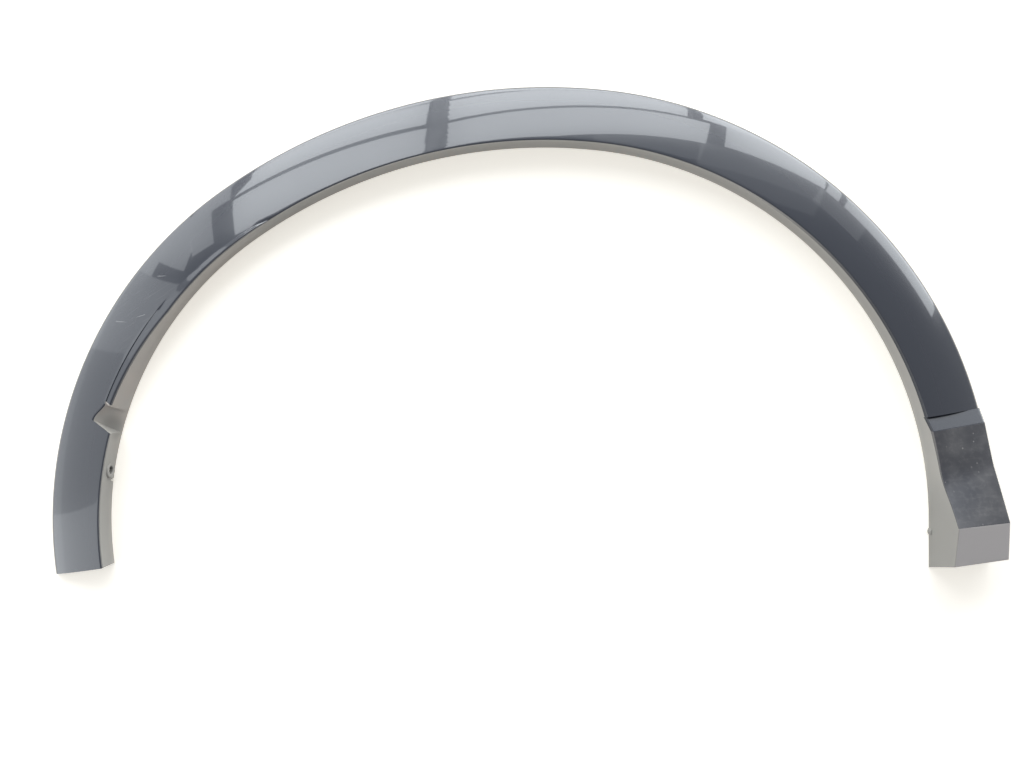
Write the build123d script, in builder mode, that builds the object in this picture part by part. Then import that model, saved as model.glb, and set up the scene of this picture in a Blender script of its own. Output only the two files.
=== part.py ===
"""Front wheel arch trim: one moulded plastic piece, lying on its rear edges.

Millimetres. X runs towards the back of the car, Y up the car and Z out from the body side.
The wheel opening is drawn round three centres, and both feet, the scoop and the eye are placed
from those arcs. The finished piece is moved so that the origin is the middle of its underside.
"""
import os
from math import cos, hypot, radians, sin, sqrt

from build123d import *

# Wheel opening: three tangent arcs, drawn from the centre of the crown arc
crown_radius = 500.4
front_radius = 339.9
front_join_angle = 125.4
rear_radius = 371.3
rear_join_angle = 84.2

# Band section
band_width = 60.0
rim_shift = 2.5
wall = 2.8
rim_height = 1.5
rim_roll = 6.0
rim_slope_angle = 28.0
lip_slope_angle = 11.0
lip_round = 1.2

# Front foot, the plain end: how far its end line lies below the front arc's centre
front_end_outer_drop = 56.7
front_end_inner_drop = 46.1

# Rear foot, the flared end: ends of its creases, from the widest point of the rear arc
step_inner = (-16.2, 103.1, 25.0)
step_outer = (46.4, 111.7, 8.8)
facet_inner = (-12.7, 89.4, 31.5)
facet_outer = (49.1, 98.1, 15.5)
bend_inner = (-1.4, 41.7, 31.5)
bend_outer = (54.0, 58.0, 23.6)
flare_inner = (1.3, 0.6, 56.0)
flare_outer = (57.8, 3.9, 42.3)
toe_inner = (1.7, -36.9, 48.5)
toe_outer = (60.3, -33.2, 32.0)
heel_inner = (1.7, -47.4, 0.0)
bend_radius = 45.0
bend_sink = 1.1
pip_drop = 11.5
pip_radius = 4.5
pip_proud = 1.5
pip_height = 6.0

# Scoop in the front leg, where the lip is cut back behind a sunken ledge
scoop_start_angle = 128.0
scoop_end_angle = 162.0
scoop_reach = 9.5
scoop_margin = 3.0
ledge_start_angle = 113.0
ledge_reach = 14.5
ledge_drop = 1.6
scoop_apex_angle = 164.3
scoop_apex_reach = 22.2
scoop_foot_angle = 165.5

# Liner eye and relief notch in the front flange, above the front arc's centre
eye_rise = 48.2
eye_height = 9.5
eye_hole_radius = 4.0
eye_ring_radius = 7.75
eye_proud = 1.2
notch_rise = 37.7
notch_width = 5.0
notch_depth = 6.5

# Clip houses and webs on the back
clip_count = 7
clip_first_ratio = 0.07
clip_last_ratio = 0.91
house_length = 26.0
house_width = 22.0
house_wall = 1.8
house_setback = 2.0
plate_thickness = 2.0
slot_radius = 4.0
gusset_count = 24
gusset_reach = 14.0
gusset_thickness = 1.2
gusset_setback = 5.0
foot_web_rises = (60.0, 22.0)
foot_web_thickness = 1.8

path_start_angle = 193.0
path_end_angle = 8.0
reach_out = 60.0


def on_circle(centre, radius, angle):
    return Vector(centre[0] + radius * cos(radians(angle)), centre[1] + radius * sin(radians(angle)))


crown_centre = (0.0, 0.0)
front_centre = tuple(on_circle(crown_centre, crown_radius - front_radius, front_join_angle))[:2]
rear_centre = tuple(on_circle(crown_centre, crown_radius - rear_radius, rear_join_angle))[:2]
rim_sin, lip_sin = sin(radians(rim_slope_angle)), sin(radians(lip_slope_angle))
face_radius = (band_width - rim_roll * (1 - rim_sin)) / (rim_sin - lip_sin)
face_rise = face_radius * (cos(radians(lip_slope_angle)) - cos(radians(rim_slope_angle)))
lip_height = rim_height + rim_roll * cos(radians(rim_slope_angle)) + face_rise
block_height = 2 * flare_inner[2]
upright = (Align.CENTER, Align.CENTER, Align.MIN)


def at_foot(point):
    """A point of the rear foot, from the widest point of the rear arc."""
    return Vector(rear_centre[0] + rear_radius + point[0], rear_centre[1] + point[1], point[2])


def rim_path():
    """Outer edge of the band, from below the front foot over the crown to past the step."""
    arcs = (
        (front_centre, front_radius, path_start_angle, front_join_angle),
        (crown_centre, crown_radius, front_join_angle, rear_join_angle),
        (rear_centre, rear_radius, rear_join_angle, path_end_angle),
    )
    with BuildLine() as line:
        for centre, radius, start, end in arcs:
            CenterArc((centre[0] + rim_shift, centre[1]), radius + band_width, start, end - start)
    return line.wire()


def band(inset):
    """Crowned band swept round the rim, every outer surface moved in by the inset."""
    path = rim_path()
    along = path % 0
    with BuildPart() as swept:
        with BuildSketch(Plane(origin=path @ 0, x_dir=(along.Y, -along.X, 0), z_dir=-along)):
            with BuildLine():
                base = Line((inset, -inset), (inset, rim_height))
                roll = JernArc(base @ 1, (0, 1), rim_roll - inset, rim_slope_angle - 90)
                face = JernArc(roll @ 1, roll % 1, face_radius - inset, 5 - rim_slope_angle)
                Polyline(face @ 1, ((face @ 1).X, -inset), base @ 0)
            make_face()
        sweep(path=path)
    return swept.part


def wheel_opening(growth):
    """Everything inside the lip, as an upright block."""
    floor = rear_centre[1] + heel_inner[1] - 2 * reach_out
    corner = (rear_centre[0] + rear_radius + growth, floor)
    with BuildPart() as block:
        with BuildSketch(Plane.XY.offset(-reach_out / 2)):
            with BuildLine():
                rear = CenterArc(rear_centre, rear_radius + growth, 0, rear_join_angle)
                crown_sweep = front_join_angle - rear_join_angle
                CenterArc(crown_centre, crown_radius + growth, rear_join_angle, crown_sweep)
                front_sweep = path_start_angle - front_join_angle
                front = CenterArc(front_centre, front_radius + growth, front_join_angle, front_sweep)
                Polyline(front @ 1, (front_centre[0], floor), corner, rear @ 0)
            make_face()
        extrude(amount=block_height + reach_out)
    return block.part


def plane_through(a, b, c):
    """Plane through three points, its normal turned upwards."""
    normal = (b - a).cross(c - a).normalized()
    return Plane(origin=a, x_dir=b - a, z_dir=normal if normal.Z > 0 else -normal)


def beyond(a, b, depth, back):
    """Upright block on the right of the plan line from a to b, moved to the left by back."""
    a, b = Vector(a.X, a.Y), Vector(b.X, b.Y)
    along = (b - a).normalized()
    left = Vector(-along.Y, along.X)
    first = a - along * reach_out + left * back
    last = b + along * reach_out + left * back
    with BuildPart() as block:
        with BuildSketch(Plane.XY.offset(-reach_out / 2)):
            with BuildLine():
                Polyline(first, last, last - left * depth, first - left * depth, close=True)
            make_face()
        extrude(amount=block_height + reach_out)
    return block.part


def crease_point(inner, outer, x, inset):
    """Where the line of a crease passes the given x, as y and z, sunk by the inset."""
    point = inner + (outer - inner) * ((x - inner.X) / (outer.X - inner.X))
    return Vector(point.Y, point.Z - bend_sink * inset)


def panel_cut(inset):
    """Everything above the panel, which bends up smoothly from the facet to the flare."""
    creases = [
        (at_foot(inner), at_foot(outer))
        for inner, outer in (
            (facet_inner, facet_outer), (bend_inner, bend_outer), (flare_inner, flare_outer),
        )
    ]
    with BuildPart() as cutter:
        for x in (at_foot(step_inner).X - reach_out / 2, at_foot(toe_outer).X + reach_out / 2):
            facet, bend, flare = (crease_point(*crease, x, inset) for crease in creases)
            first, last = facet + (facet - bend) * 2, flare + (flare - bend) * 2
            with BuildSketch(Plane.YZ.offset(x)):
                with BuildLine():
                    FilletPolyline(first, bend, last, radius=bend_radius + inset)
                    Polyline(last, (last.X, 3 * block_height), (first.X, 3 * block_height), first)
                make_face()
        loft(ruled=True)
    return cutter.part


def rear_foot(inset):
    """Wedge under the facet, the panel and the toe, from above the step to the heel."""
    step, facet, facet_side = at_foot(step_inner), at_foot(facet_inner), at_foot(facet_outer)
    flare, flare_side = at_foot(flare_inner), at_foot(flare_outer)
    toe, toe_side, heel = at_foot(toe_inner), at_foot(toe_outer), at_foot(heel_inner)
    corner = at_foot(step_outer)
    inner = step.X - reach_out / 3
    with BuildPart() as wedge:
        with BuildSketch(Plane.XY.offset(-inset)):
            with BuildLine():
                Polyline(
                    (inner, step.Y + reach_out / 3),
                    (corner.X - inset, corner.Y),
                    (toe_side.X - inset, toe_side.Y),
                    (toe_side.X - inset, heel.Y - reach_out),
                    (inner, heel.Y - reach_out),
                    close=True,
                )
            make_face()
        extrude(amount=block_height)
        for crease in (
            plane_through(step, facet, facet_side),
            plane_through(flare, flare_side, toe),
            plane_through(heel, toe, toe_side),
        ):
            split(bisect_by=crease.offset(-inset), keep=Keep.BOTTOM)
        add(panel_cut(inset), mode=Mode.SUBTRACT)
    return wedge.part


def offset_circle(start_angle, reach, share):
    """Centre and radius of a circle that leaves the lip at the start angle and ends at the reach."""
    near, far = cos(radians(scoop_end_angle - 180)), cos(radians(start_angle - 180))
    slide = share * reach / (near - far)
    return (front_centre[0] - slide, front_centre[1]), front_radius - slide * far


def face_point(reach, angle):
    """A point of the front leg's face, outside the lip by the reach."""
    point = on_circle(front_centre, front_radius + reach, angle)
    from_hub = hypot(point.X - front_centre[0] - rim_shift, point.Y - front_centre[1])
    from_roll = front_radius + band_width - from_hub - rim_roll * (1 - rim_sin)
    slope = rim_sin - from_roll / face_radius
    drop = face_radius * (cos(radians(lip_slope_angle)) - sqrt(1 - slope**2))
    return Vector(point.X, point.Y, lip_height - drop)


def scoop_end(growth):
    """Upright block above the slanted end of the scoop."""
    apex = face_point(scoop_apex_reach, scoop_apex_angle)
    foot = on_circle(front_centre, front_radius, scoop_foot_angle)
    return beyond(foot, apex, 2 * front_radius, growth)


def scoop_slope(growth):
    """Cut over the smooth slope that joins the ledge's end to the scoop's slanted end."""
    apex = face_point(scoop_apex_reach, scoop_apex_angle)
    ledge_end = face_point(ledge_reach, scoop_end_angle)
    foot = on_circle(front_centre, front_radius, scoop_foot_angle) + Vector(0, 0, scoop_margin)
    slope = plane_through(ledge_end, apex, foot)
    with BuildPart() as cutter:
        add(scoop_end(growth))
        add(beyond(ledge_end, Vector(*front_centre), 2 * reach_out, growth), mode=Mode.INTERSECT)
        split(bisect_by=slope.offset(-growth), keep=Keep.TOP)
    return cutter.part


def scoop(growth):
    """Leaning cut that takes the lip back along the front leg, with a slanted end."""
    rise = lip_height - scoop_margin
    grown = growth * hypot(scoop_reach, rise) / rise
    with BuildPart() as cutter:
        for height in (0.0, 2 * lip_height):
            middle, radius = offset_circle(scoop_start_angle, scoop_reach, (height - scoop_margin) / rise)
            with BuildSketch(Plane.XY.offset(height)):
                with Locations(middle):
                    Circle(radius + grown)
        loft(ruled=True)
        add(scoop_end(growth), mode=Mode.INTERSECT)
    return cutter.part


def ledge():
    """Shallow cut beside the scoop, down to a surface that follows the face."""
    middle, radius = offset_circle(ledge_start_angle, ledge_reach, 1)
    with BuildPart() as cutter:
        with BuildSketch(Plane.XY):
            with Locations(middle):
                Circle(radius)
        extrude(amount=2 * lip_height)
        add(scoop_end(0), mode=Mode.INTERSECT)
        add(band(ledge_drop), mode=Mode.SUBTRACT)
    return cutter.part


def trim_volume(inset):
    """Solid bounded by every outer surface moved in by the inset, its base at the back."""
    front_rim = front_centre[0] + rim_shift - front_radius - band_width
    end_outer = Vector(front_rim, front_centre[1] - front_end_outer_drop)
    end_inner = Vector(front_centre[0] - front_radius, front_centre[1] - front_end_inner_drop)
    with BuildPart() as volume:
        add(band(inset))
        add(beyond(at_foot(step_inner), at_foot(step_outer), 4 * reach_out, inset), mode=Mode.SUBTRACT)
        add(rear_foot(inset))
        add(wheel_opening(inset), mode=Mode.SUBTRACT)
        add(scoop(inset), mode=Mode.SUBTRACT)
        add(scoop_slope(inset), mode=Mode.SUBTRACT)
        add(beyond(end_outer, end_inner, 2 * reach_out, inset), mode=Mode.SUBTRACT)
    return volume.part


def along_rim(count):
    """Frames on the rim line at even steps: x along the rim, y towards the wheel, z inwards."""
    path = rim_path()
    for step in range(count):
        share = clip_first_ratio + (clip_last_ratio - clip_first_ratio) * step / max(count - 1, 1)
        yield Plane(origin=path @ share, x_dir=path % share, z_dir=(0, 0, -1)).location


def clip_houses():
    """Shelves that the fixing clips slide into, open at one end and slotted for the clip's neck."""
    pocket = house_setback + plate_thickness
    middle = band_width / 2
    on_floor = (Align.CENTER, Align.CENTER, Align.MAX)
    with BuildPart() as houses:
        with Locations(*along_rim(clip_count)):
            with Locations((0, middle, -house_setback)):
                Box(house_length, house_width, lip_height, align=on_floor)
            with Locations((house_wall, middle, -pocket)):
                inner_width = house_width - 2 * house_wall
                Box(house_length, inner_width, lip_height, align=on_floor, mode=Mode.SUBTRACT)
            with Locations((0, middle, -house_setback)):
                Cylinder(slot_radius, 3 * plate_thickness, mode=Mode.SUBTRACT)
            with Locations((house_length / 2, middle, -house_setback)):
                Box(house_length, 2 * slot_radius, 3 * plate_thickness, mode=Mode.SUBTRACT)
    return houses.part


def gussets():
    """Thin corner webs between the face and the flange."""
    top = lip_height
    root = band_width - wall
    with BuildPart() as webs:
        for place in along_rim(gusset_count):
            with BuildSketch(Plane(place) * Rot(0, -90, 0)):
                with BuildLine():
                    Polyline(
                        (-gusset_setback, root + 3 * wall), (-gusset_setback, root - wall),
                        (-top, root - gusset_reach), (-top, root + 3 * wall), close=True,
                    )
                make_face()
            extrude(amount=gusset_thickness / 2, both=True)
    return webs.part


def foot_webs():
    """Cross webs under the flare."""
    with BuildPart() as webs:
        for rise in foot_web_rises:
            with Locations(at_foot((0, flare_inner[1] + rise, gusset_setback))):
                Box(4 * reach_out, foot_web_thickness, block_height, align=upright)
    return webs.part


os.makedirs("parts", exist_ok=True)
eye_x = front_centre[0] - sqrt(front_radius**2 - eye_rise**2)
eye_y = front_centre[1] + eye_rise
eye_depth = wall + eye_proud
notch_y = front_centre[1] + notch_rise

with BuildPart() as back_webs:
    add(clip_houses())
    add(gussets())
    add(foot_webs())
    add(trim_volume(wall / 2), mode=Mode.INTERSECT)

with BuildPart() as moulding:
    add(trim_volume(0))
    lip_edges = moulding.edges().filter_by(lambda edge: edge.length > 2 * band_width)
    fillet(lip_edges.filter_by(lambda edge: edge.center().Z > lip_height / 2), lip_round)
    add(trim_volume(wall), mode=Mode.SUBTRACT)
    add(back_webs.part)
    add(ledge(), mode=Mode.SUBTRACT)
    with Locations(Location((eye_x + eye_proud - eye_depth / 2, eye_y, eye_height), (0, 90, 0))):
        Cylinder(eye_ring_radius, eye_depth)
        Cylinder(eye_hole_radius, 3 * eye_depth, mode=Mode.SUBTRACT)
    with BuildSketch(Plane.YZ.offset(eye_x)):
        with BuildLine():
            Polyline(
                (notch_y - notch_width / 2, -wall), (notch_y + notch_width / 2, -wall),
                (notch_y, notch_depth), close=True,
            )
        make_face()
    extrude(amount=3 * wall, both=True, mode=Mode.SUBTRACT)
    with Locations(at_foot((pip_radius - pip_proud, -pip_drop, 0))):
        Cylinder(pip_radius, pip_height, align=upright)

box = moulding.part.bounding_box()
with BuildPart() as arch_moulding:
    with Locations((-box.center().X, -box.center().Y, -box.min.Z)):
        add(moulding.part)

arch_moulding.part.label = "arch_moulding"
export_step(arch_moulding.part, "parts/arch_moulding.step")
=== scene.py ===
# %% [markdown]
# A wheel arch trim
# The real object is one moulding: a gloss painted band that follows the wheel opening, a flange
# that turns in towards the wheel, a plain foot in front and a flared foot behind.
# It lies on its back on a pale floor and is seen from straight above.
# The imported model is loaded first, because everything below is built in its frame.

# %% Load the frame
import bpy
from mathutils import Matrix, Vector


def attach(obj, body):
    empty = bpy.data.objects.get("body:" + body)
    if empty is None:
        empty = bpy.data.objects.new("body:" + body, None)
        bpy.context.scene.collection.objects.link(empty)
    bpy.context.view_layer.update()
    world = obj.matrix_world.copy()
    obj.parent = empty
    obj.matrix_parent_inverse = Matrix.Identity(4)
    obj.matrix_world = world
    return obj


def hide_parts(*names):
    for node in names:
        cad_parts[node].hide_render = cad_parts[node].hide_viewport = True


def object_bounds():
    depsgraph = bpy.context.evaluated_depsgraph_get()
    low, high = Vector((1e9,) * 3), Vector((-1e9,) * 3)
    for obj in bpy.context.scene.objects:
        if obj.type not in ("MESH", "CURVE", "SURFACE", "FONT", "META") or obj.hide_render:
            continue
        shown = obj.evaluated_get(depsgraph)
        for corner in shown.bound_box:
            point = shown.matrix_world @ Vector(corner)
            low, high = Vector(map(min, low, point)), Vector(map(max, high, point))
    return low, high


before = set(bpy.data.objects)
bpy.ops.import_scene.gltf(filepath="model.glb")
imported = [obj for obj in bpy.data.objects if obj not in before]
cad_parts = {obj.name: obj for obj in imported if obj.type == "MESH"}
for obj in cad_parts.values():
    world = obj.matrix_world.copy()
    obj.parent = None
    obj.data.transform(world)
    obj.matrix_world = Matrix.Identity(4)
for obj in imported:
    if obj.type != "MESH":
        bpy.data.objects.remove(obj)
cad_low, cad_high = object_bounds()
print("box in metres", tuple(cad_low), tuple(cad_high))

# %% [markdown]
# The shape in numbers
# The wheel opening is three arcs that meet smoothly, and the rim of the band is the same three
# arcs drawn larger and moved a little to the rear. These are the moulding's own sizes in
# millimetres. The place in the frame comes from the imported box: the rim touches its left side
# and its top.

# %% Sizes of the opening and the band
from collections import namedtuple
from math import acos, atan, atan2, cos, pi, radians, sin, sqrt, tan

import bmesh
import bpy
from mathutils import Matrix, Vector

MM = 0.001
crown_radius, front_radius, rear_radius = 500.4, 339.9, 371.3
front_join, rear_join = radians(125.4), radians(84.2)
band_width = 60.0
rim_offset = Vector((2.5, 0.0))
wall = 2.8
rim_height, rim_roll = 1.5, 6.0
rim_slope, lip_slope = radians(28.0), radians(11.0)

Arc = namedtuple("Arc", "centre radius")


def on_circle(centre, radius, angle):
    return centre + radius * Vector((cos(angle), sin(angle)))


def angle_about(centre, point):
    arm = point - centre
    return atan2(arm.y, arm.x) % (2 * pi)


crown_height = cad_high.y / MM - crown_radius - band_width
front_shift = (crown_radius - front_radius) * Vector((cos(front_join), sin(front_join)))
crown_x = cad_low.x / MM + front_radius + band_width - rim_offset.x - front_shift.x
crown = Arc(Vector((crown_x, crown_height)), crown_radius)
front = Arc(crown.centre + front_shift, front_radius)
rear = Arc(on_circle(crown.centre, crown_radius - rear_radius, rear_join), rear_radius)
print("arc centres", crown.centre, front.centre, rear.centre)

# %% [markdown]
# The section of the band
# Across the band the surface starts with a short upright edge, turns over in a small roll and
# then rises to the lip as one shallow arc. A function gives the height for any distance from
# the rim, so that a point anywhere on the plan gets its exact height.

# %% Height across the band
roll_width = rim_roll * (1 - sin(rim_slope))
roll_height = rim_height + rim_roll * cos(rim_slope)
face_radius = (band_width - roll_width) / (sin(rim_slope) - sin(lip_slope))


def section_height(from_rim):
    """Height of the painted surface at a distance from the rim."""
    if from_rim < roll_width:
        turn = acos(1 - max(from_rim, 0.0) / rim_roll)
        return rim_height + rim_roll * sin(turn)
    slope = sin(rim_slope) - (from_rim - roll_width) / face_radius
    return roll_height + face_radius * (sqrt(1 - slope * slope) - cos(rim_slope))


def band_height(arc, point):
    from_rim = arc.radius + band_width - (point - arc.centre - rim_offset).length
    return section_height(from_rim)


print("lip height", round(section_height(band_width), 2), "mm")

# %% [markdown]
# Scoop, ledge and slanted end
# Along the front leg the lip is cut back. The face ends there in a slightly raised edge, and a
# sunken ledge runs on from a fine step to the new lip. Both stop at a smooth slanted patch. The
# cut and the ledge follow circles that are pushed forwards from the lip's own circle, so their
# reach grows by itself.

# %% Circles that lead the scoop
scoop_start, scoop_end, scoop_reach = radians(140.5), radians(162.0), 9.2
ledge_start, ledge_reach, ledge_drop = radians(113.0), 14.5, 1.6
flange_foot = 3.0
patch_start, patch_foot = radians(161.7), radians(165.5)
apex_reach, apex_angle = 22.2, radians(164.3)
apex = on_circle(front.centre, front_radius + apex_reach, apex_angle)
patch_corner = on_circle(front.centre, front_radius, patch_foot)


def pushed_circle(start, reach):
    """Polar radius about the front centre of a circle that leaves the lip at the start angle."""
    slide = reach / (cos(start) - cos(scoop_end))
    radius = front_radius + slide * cos(start)

    def radius_at(angle):
        return sqrt(radius**2 - (slide * sin(angle)) ** 2) - slide * cos(angle)

    return radius_at


scoop_rule = pushed_circle(scoop_start, scoop_reach)
ledge_rule = pushed_circle(ledge_start, ledge_reach)
print("reach at the end", round(ledge_rule(scoop_end) - front_radius, 2), "mm")

# %% [markdown]
# Rows across the moulding
# The skin is a grid. Each row is a line on the plan from the rim to the lip, and its points
# carry the section: edge, roll, face, rounded lip, paint turned over the lip, flange. Every
# row has the same number of points, so neighbouring rows join with plain quads and the paint
# line is a line of edges.

# %% Sizes across a row
FACE_STEPS, CORNER_STEPS, TURN_STEPS, FLANGE_STEPS, ROLL_STEPS = 26, 7, 9, 9, 6
LEDGE_STEPS = 4
lip_round = 1.5
front_turn, rear_turn = 1.4, 4.8
rear_turn_range = radians(66.0), radians(54.0)
bead_width, bead_lift, step_drop = 3.5, 0.4, 0.35
ledge_seen_range, ledge_grown_range = (1.0, 3.5), (9.5, 12.5)
ledge_tilt, ledge_round, ledge_turn_share = 0.7, 1.2, 0.12
patch_blend = 0.12


def mix(a, b, share):
    return a + (b - a) * share


def smooth(low, high, value):
    share = min(max((value - low) / (high - low), 0.0), 1.0)
    return share * share * (3 - 2 * share)


def spaced(first, last, count):
    """Points from first to last, both included."""
    return [mix(first, last, step / (count - 1)) for step in range(count)]


def rounded(before, corner, after, count):
    """Rounded corner as a quadratic curve that starts and ends on its two sides."""
    points = []
    for step in range(count):
        share = step / (count - 1)
        points.append(mix(mix(before, corner, share), mix(corner, after, share), share))
    return points


print("ledge shows from", ledge_seen_range[0], "mm and is whole at", ledge_grown_range[1], "mm")

# %% A row on the plan
class Row:
    """A plan line from the rim to the lip, with the height of the painted surface along it."""

    def __init__(self, arc, outer, inner):
        self.arc, self.outer, self.inner = arc, outer, inner
        self.width = (inner - outer).length
        self.along = (inner - outer) / self.width

    def plan(self, across):
        return self.outer + self.along * across

    def height(self, across):
        return band_height(self.arc, self.plan(across))

    def at(self, across):
        return Vector((across, self.height(across)))

    def crossing(self, rule):
        """Distance across at which the row meets a circle of the scoop, or the lip if it doesn't."""
        low, high = 0.0, self.width
        for _ in range(40):
            middle = (low + high) / 2
            point = self.plan(middle)
            outside = (point - front.centre).length > rule(angle_about(front.centre, point))
            low, high = (middle, high) if outside else (low, middle)
        return high


crown_top = on_circle(crown.centre + rim_offset, crown_radius + band_width, pi / 2)
crown_row = Row(crown, crown_top, on_circle(crown.centre, crown_radius, pi / 2))
print("a row at the crown is", round(crown_row.width, 2), "mm wide")

# %% Lip, ledge and patch
def plain_lip(row):
    """Rounded lip. The paint goes further down the flange on the rear leg."""
    corner = row.at(row.width)
    below = corner - Vector((0, lip_round))
    on_rear = smooth(*rear_turn_range, angle_about(rear.centre, row.inner))
    turned = below - Vector((0, mix(front_turn, rear_turn, on_rear)))
    points = rounded(row.at(row.width - lip_round), corner, below, CORNER_STEPS)
    points += spaced(below, turned, TURN_STEPS + 1)[1:]
    return points + spaced(turned, Vector((row.width, 0)), FLANGE_STEPS + 1)[1:]


def ledge_lip(row, edge, cut):
    """Raised edge of the face, a fine step, the ledge, a round lip and the leaning flange.

    Where the ledge is still narrow it has no step yet and only tilts up to the lip."""
    grown = smooth(*ledge_grown_range, row.width - edge)
    tilt = Vector((0, ledge_tilt * (1 - grown)))
    lip = min(ledge_round, (cut - edge) / 3)
    foot = Vector((row.width, flange_foot))
    points = []
    for share in spaced(0.0, 1.0, CORNER_STEPS - 1):
        lift = Vector((0, grown * bead_lift * share**2))
        points.append(row.at(edge - bead_width * (1 - share)) + lift)
    step_foot = row.at(min(edge + step_drop, cut - lip)) - Vector((0, grown * step_drop))
    ledge_end = row.at(cut - lip) + tilt
    points += [step_foot] + spaced(step_foot, ledge_end, LEDGE_STEPS + 1)[1:]
    corner = row.at(cut) + tilt
    below = mix(corner, foot, ledge_turn_share)
    points += rounded(ledge_end, corner, below, TURN_STEPS - LEDGE_STEPS + 1)[1:]
    return points + spaced(below, foot, FLANGE_STEPS)[1:] + [Vector((row.width, 0))]


def patch_lip(row, edge):
    """Smooth slope from the face to the foot of the flange."""
    foot = Vector((row.width, flange_foot))
    corner = row.at(edge)
    slope = (foot - corner).normalized()
    points = rounded(row.at(edge - lip_round), corner, corner + slope * lip_round, CORNER_STEPS)
    count = TURN_STEPS + FLANGE_STEPS
    return points + spaced(points[-1], foot, count)[1:] + [Vector((row.width, 0))]


def ledge_share(row, patch_share):
    """How far the ledge has come up at a row, from 0 to 1."""
    if patch_share < 0:
        return 0.0
    return smooth(*ledge_seen_range, row.width - row.crossing(ledge_rule))


print("points from the lip to the flange's base", len(plain_lip(crown_row)))

# %% The whole section of a row
def band_profile(row, patch_share):
    """Outer section of a row as (across, height) points, from the rim's base to the flange's."""
    edge, cut = row.crossing(ledge_rule), row.crossing(scoop_rule)
    apex_edge = row.width - (apex - patch_corner).length
    patch = smooth(0.0, patch_blend, patch_share)
    ledge = ledge_share(row, patch_share)
    edge = mix(edge, apex_edge, smooth(0.0, 1.0, patch_share)) if patch_share > 0 else edge
    lip = plain_lip(row)
    if ledge > 0:
        lip = [mix(a, b, ledge) for a, b in zip(lip, ledge_lip(row, edge, min(cut, row.width)))]
    if patch > 0:
        lip = [mix(a, b, patch) for a, b in zip(lip, patch_lip(row, edge))]
    points = [Vector((0, 0)), Vector((0, rim_height))]
    for turn in spaced(0.0, pi / 2 - rim_slope, ROLL_STEPS + 1)[1:]:
        points.append(row.at(rim_roll * (1 - cos(turn))))
    face_end = lip[0].x
    points += [row.at(across) for across in spaced(points[-1].x, face_end, FACE_STEPS + 1)[1:-1]]
    return points + lip


COLUMNS = 2 + ROLL_STEPS + FACE_STEPS - 1 + CORNER_STEPS + TURN_STEPS + FLANGE_STEPS
print("points in a row", COLUMNS)

# %% [markdown]
# From the front end to the step
# Rows fan round the three arcs. The two lines that don't point at a centre, the front end and
# the slanted end of the scoop, are rows of their own, and the rows between lean over gradually.
# At the scoop's end two rows lie on the same line, one on each side of its end wall.

# %% Lines across the band
Placed = namedtuple("Placed", "outer inner zone")
ROW_SPACING = 3.4
PATCH_ROWS, LEDGE_ROWS, CROWN_ROWS = 24, 80, 112
patch_part = 0.125
leaning_wall, upright_wall, heel_wall = 1.35 * wall, 1.05 * wall, 1.03 * wall


def meeting(near, far, centre, radius):
    """Where the line through two points meets a circle, on the side of the first point."""
    along = (far - near).normalized()
    middle = near + along * along.dot(centre - near)
    half = along * sqrt(radius**2 - (middle - centre).length_squared)
    return min((middle + half, middle - half), key=lambda point: (point - near).length)


def row_line(arc, outer_guide, inner_guide):
    """Rim angle and lip angle of the row that lies on a plan line."""
    hub = arc.centre + rim_offset
    rim = meeting(outer_guide, inner_guide, hub, arc.radius + band_width)
    lip = meeting(inner_guide, outer_guide, arc.centre, arc.radius)
    return angle_about(hub, rim), angle_about(arc.centre, lip)


def row_at(arc, angles):
    rim = on_circle(arc.centre + rim_offset, arc.radius + band_width, angles[0])
    return Row(arc, rim, on_circle(arc.centre, arc.radius, angles[1]))


def patch_share(angle):
    return max((angle - patch_start) / (patch_foot - patch_start), 0.0)


def patch_zone(angle):
    return "patch" if angle > patch_start else "band"


print("patch runs over", round(front_radius * (patch_foot - patch_start), 1), "mm of the lip")

# %% Outer and hollow side of a row
def solid_points(row, profile):
    return [row.plan(point.x).to_3d() + Vector((0, 0, point.y)) for point in profile]


def inner_points(row, profile, lean, sunk):
    """The hollow side of a row: every point moved in by the wall, kept under the face."""
    back = mix(wall, leaning_wall, lean)
    first_lip = 2 + ROLL_STEPS + FACE_STEPS - 1
    limit = profile[first_lip].x - back
    points = []
    for number, (across, height) in enumerate(profile):
        is_lip = number >= first_lip
        inside = max(across - back if is_lip else min(across, limit), wall)
        top = row.height(inside) - upright_wall - (sunk if is_lip else 0.0)
        points.append(Vector((inside, max(min(height, top), 0.0))))
    return solid_points(row, points)


def place_band(arc, angles, share, zone, inset_angle=0.0):
    row = row_at(arc, angles)
    profile = band_profile(row, share)
    hollow = row_at(arc, (angles[0] + inset_angle, angles[1] + inset_angle))
    hollow_profile = band_profile(hollow, share)
    has_ledge = ledge_share(row, share) if share == 0 else 0.0
    lean = max(has_ledge, smooth(0.0, patch_blend, share))
    sunk = has_ledge * ledge_drop
    return Placed(solid_points(row, profile), inner_points(hollow, hollow_profile, lean, sunk), zone)


def fan(arc, first, last, count, zone_of, share_of):
    """Rows between two lines, the first included and the last not."""
    for step in range(count):
        angles = [mix(a, b, step / count) for a, b in zip(first, last)]
        yield place_band(arc, angles, share_of(angles[1]), zone_of(angles[1]))


print("wall behind the leaning flange", round(leaning_wall, 2), "mm")

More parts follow.
